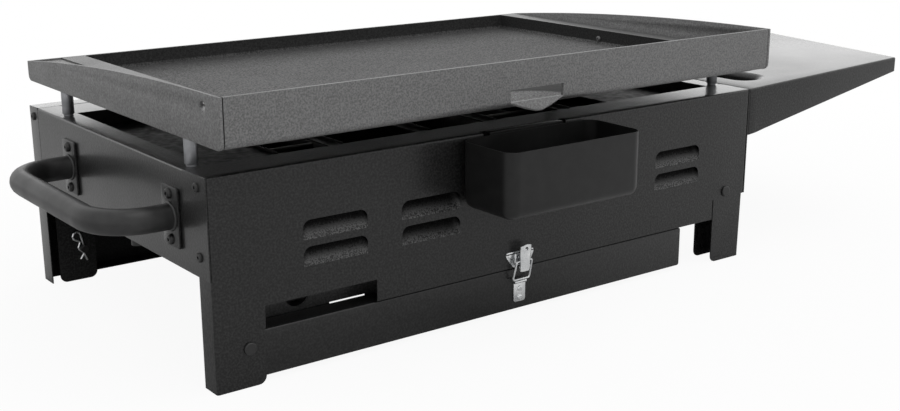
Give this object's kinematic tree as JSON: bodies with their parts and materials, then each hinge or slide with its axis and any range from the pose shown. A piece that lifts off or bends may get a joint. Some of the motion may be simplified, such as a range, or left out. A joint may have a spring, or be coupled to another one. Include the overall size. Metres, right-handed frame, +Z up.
{
  "type": "gas griddle station",
  "caption": "Folded outdoor gas griddle station: steel griddle plate on posts over a black burner body, rear grease cup, carrying handle, side shelf and folding leg frames.",
  "frame": {"origin": "middle of the station's footprint (shelf, body, handle, knobs and cup) on the ground", "axes": "+X towards the carrying handle, -X towards the side shelf, -Y the cook's side with the knobs, +Y the side with the grease cup and the latch, +Z up"},
  "size_m": [1.156, 0.5376, 0.281],
  "materials": {
    "black_powder_coat": "fine-textured matt black powder coat",
    "firebox_steel": "black heat-resistant coat",
    "spreader_steel": "dull sheet steel",
    "burner_steel": "dull stainless steel",
    "brass": "machined",
    "gas_pipe_steel": "drawn satin tube",
    "plated_steel": "bright zinc plate",
    "black_knob": "satin black",
    "igniter_red": "glossy black",
    "ceramic": "white glazed ceramic",
    "handle_tube": "smooth satin dark coat",
    "black_fastener": "black oxide",
    "leg_frame_black": "fine-textured matt black powder coat",
    "griddle_steel": "rough rolled satin steel",
    "post_steel": "satin",
    "cup_black": "smooth satin black"
  },
  "bodies": {
    "base": {"rear_panel": "black_powder_coat", "front_panel": "black_powder_coat", "handle_end_panel": "black_powder_coat", "shelf_end_panel": "black_powder_coat", "rear_inner_wall": "black_powder_coat", "front_inner_wall": "black_powder_coat", "firebox": "firebox_steel", "heat_spreader": "spreader_steel", "handle_end_burner": "burner_steel", "shelf_end_burner": "burner_steel", "gas_manifold": "gas_pipe_steel", "gas_valves": "brass", "valve_collars": "brass", "gas_supply_pipe": "gas_pipe_steel", "gas_inlet_fitting": "brass", "igniter_housing": "black_knob", "spark_electrodes": "ceramic", "carry_handle": "handle_tube", "handle_plates": "black_powder_coat", "handle_bolts": "black_fastener", "body_screws": "black_fastener", "low_pivot_pins": "black_fastener", "high_pivot_pins": "black_fastener", "low_r_clips": "plated_steel", "high_r_clips": "plated_steel", "latch_base": "plated_steel", "shelf_studs": "black_fastener"},
    "low_legs": {"low_leg_frame": "leg_frame_black", "latch_keeper": "plated_steel"},
    "high_legs": {"high_leg_frame": "leg_frame_black"},
    "griddle": {"griddle_plate": "griddle_steel", "griddle_posts": "post_steel", "well_stop_bolt": "griddle_steel"},
    "cup": {"grease_cup": "cup_black"},
    "shelf": {"side_shelf": "black_powder_coat"},
    "handle_end_stem": {"handle_end_valve_stem": "plated_steel"},
    "handle_end_dial": {"handle_end_knob": "black_knob"},
    "shelf_end_stem": {"shelf_end_valve_stem": "plated_steel"},
    "shelf_end_dial": {"shelf_end_knob": "black_knob"},
    "igniter": {"igniter_button": "igniter_red"},
    "lever": {"latch_lever": "plated_steel"},
    "bail": {"latch_bail": "plated_steel"}
  },
  "joints": [
    {"name": "low_legs_fold", "type": "hinge", "parent": "base", "child": "low_legs", "pos_m": [0.4608, -0.0292, 0.038], "axis": [0, -1, 0], "range_deg": [0, 93]},
    {"name": "high_legs_fold", "type": "hinge", "parent": "base", "child": "high_legs", "pos_m": [-0.186, -0.0292, 0.086], "axis": [0, 1, 0], "range_deg": [0, 84.7]},
    {"name": "griddle_lift", "type": "slide", "parent": "base", "child": "griddle", "axis": [0, 0, 1], "range_m": [0, 0.06]},
    {"name": "cup_lift", "type": "slide", "parent": "base", "child": "cup", "axis": [0, 0, 1], "range_m": [0, 0.018]},
    {"name": "shelf_lift", "type": "slide", "parent": "base", "child": "shelf", "axis": [0, 0, 1], "range_m": [0, 0.0135]},
    {"name": "handle_end_push", "type": "slide", "parent": "base", "child": "handle_end_stem", "axis": [0, 1, 0], "range_m": [0, 0.003], "stiffness_N_per_m": 600},
    {"name": "handle_end_turn", "type": "hinge", "parent": "handle_end_stem", "child": "handle_end_dial", "pos_m": [0.3185, -0.2592, 0.152], "axis": [0, -1, 0], "range_deg": [0, 180]},
    {"name": "shelf_end_push", "type": "slide", "parent": "base", "child": "shelf_end_stem", "axis": [0, 1, 0], "range_m": [0, 0.003], "stiffness_N_per_m": 600},
    {"name": "shelf_end_turn", "type": "hinge", "parent": "shelf_end_stem", "child": "shelf_end_dial", "pos_m": [-0.0415, -0.2592, 0.152], "axis": [0, -1, 0], "range_deg": [0, 180]},
    {"name": "igniter_push", "type": "slide", "parent": "base", "child": "igniter", "axis": [0, 1, 0], "range_m": [0, 0.005], "stiffness_N_per_m": 700},
    {"name": "lever_swing", "type": "hinge", "parent": "base", "child": "lever", "pos_m": [0.135, 0.1928, 0.0558], "axis": [-1, 0, 0], "range_deg": [0, 110]},
    {"name": "bail_swing", "type": "hinge", "parent": "lever", "child": "bail", "pos_m": [0.135, 0.194, 0.0625], "axis": [1, 0, 0], "range_deg": [0, 110]}
  ],
  "couplings": [
    {"joint": "high_legs_fold", "follows": "low_legs_fold", "ratio": 0.91},
    {"joint": "bail_swing", "follows": "lever_swing", "ratio": 1}
  ]
}
